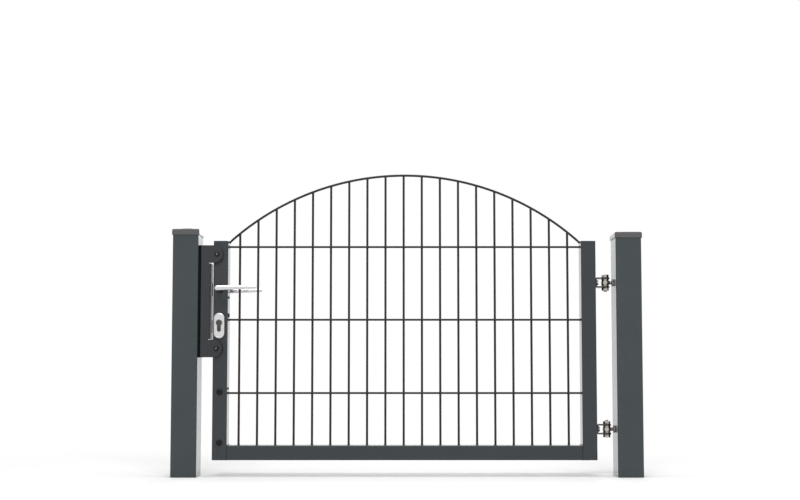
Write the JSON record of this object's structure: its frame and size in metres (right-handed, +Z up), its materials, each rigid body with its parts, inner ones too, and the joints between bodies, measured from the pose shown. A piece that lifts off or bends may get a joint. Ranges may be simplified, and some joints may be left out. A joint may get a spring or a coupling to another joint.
{
  "type": "single swing gate",
  "caption": "Low arched garden gate of welded rods in a square tube frame, hung from a square post on eye-bolt hinges and closing on a strike plate, with lever handles.",
  "frame": {"origin": "middle of the hinge post's foot", "axes": "+X along the gate from the latch post to the hinge post, +Y from the front to the back, the way the leaf opens, +Z up"},
  "size_m": [1.2833, 0.136, 0.8281],
  "materials": {
    "powder_coat": "fine satin powder coat",
    "rod_coat": "satin powder coat on welded rod",
    "cap_plastic": "matt moulded plastic",
    "black_rubber": "matt",
    "black_steel": "black-coated screws",
    "zinc_steel": "bright zinc plate",
    "satin_silver": "satin anodised",
    "dark_brass": "dark plated"
  },
  "bodies": {
    "posts": {"latch_post": "powder_coat", "hinge_post": "powder_coat", "latch_post_cap": "cap_plastic", "hinge_post_cap": "cap_plastic", "strike_plate": "powder_coat", "strike_packer": "black_rubber", "strike_screws": "zinc_steel", "upper_buffer": "black_rubber", "lower_buffer": "black_rubber", "upper_buffer_screw": "zinc_steel", "lower_buffer_screw": "zinc_steel", "upper_eye_bolt": "zinc_steel", "lower_eye_bolt": "zinc_steel", "upper_eye_nuts": "zinc_steel", "lower_eye_nuts": "zinc_steel"},
    "leaf": {"lock_stile": "powder_coat", "hinge_stile": "powder_coat", "bottom_rail": "powder_coat", "lock_stile_plug": "cap_plastic", "hinge_stile_plug": "cap_plastic", "mesh_infill": "rod_coat", "upper_stile_screw": "black_steel", "lower_stile_screw": "black_steel", "inner_screws": "black_steel", "mortice_lock": "zinc_steel", "latch_bolt": "zinc_steel", "dead_bolt": "zinc_steel", "lock_cylinder": "dark_brass", "front_cylinder_plate": "satin_silver", "back_cylinder_plate": "satin_silver", "front_rose": "satin_silver", "back_rose": "satin_silver", "upper_bracket": "zinc_steel", "lower_bracket": "zinc_steel", "upper_bracket_bolt": "zinc_steel", "lower_bracket_bolt": "zinc_steel", "upper_pin_bolt": "zinc_steel", "lower_pin_bolt": "zinc_steel", "upper_pin_nut": "zinc_steel", "lower_pin_nut": "zinc_steel", "upper_spacers": "zinc_steel", "lower_spacers": "zinc_steel"},
    "handle": {"front_lever": "satin_silver", "back_lever": "satin_silver", "spindle": "zinc_steel"}
  },
  "joints": [
    {"name": "gate_swing", "type": "hinge", "parent": "posts", "child": "leaf", "pos_m": [-0.058, 0, 0.328], "axis": [0, 0, -1], "range_deg": [0, 90]},
    {"name": "handle_turn", "type": "hinge", "parent": "leaf", "child": "handle", "pos_m": [-1.113, 0, 0.509], "axis": [0, 1, 0], "range_deg": [0, 40], "stiffness_Nm_per_rad": 1.2, "springref_deg": -20.05}
  ]
}
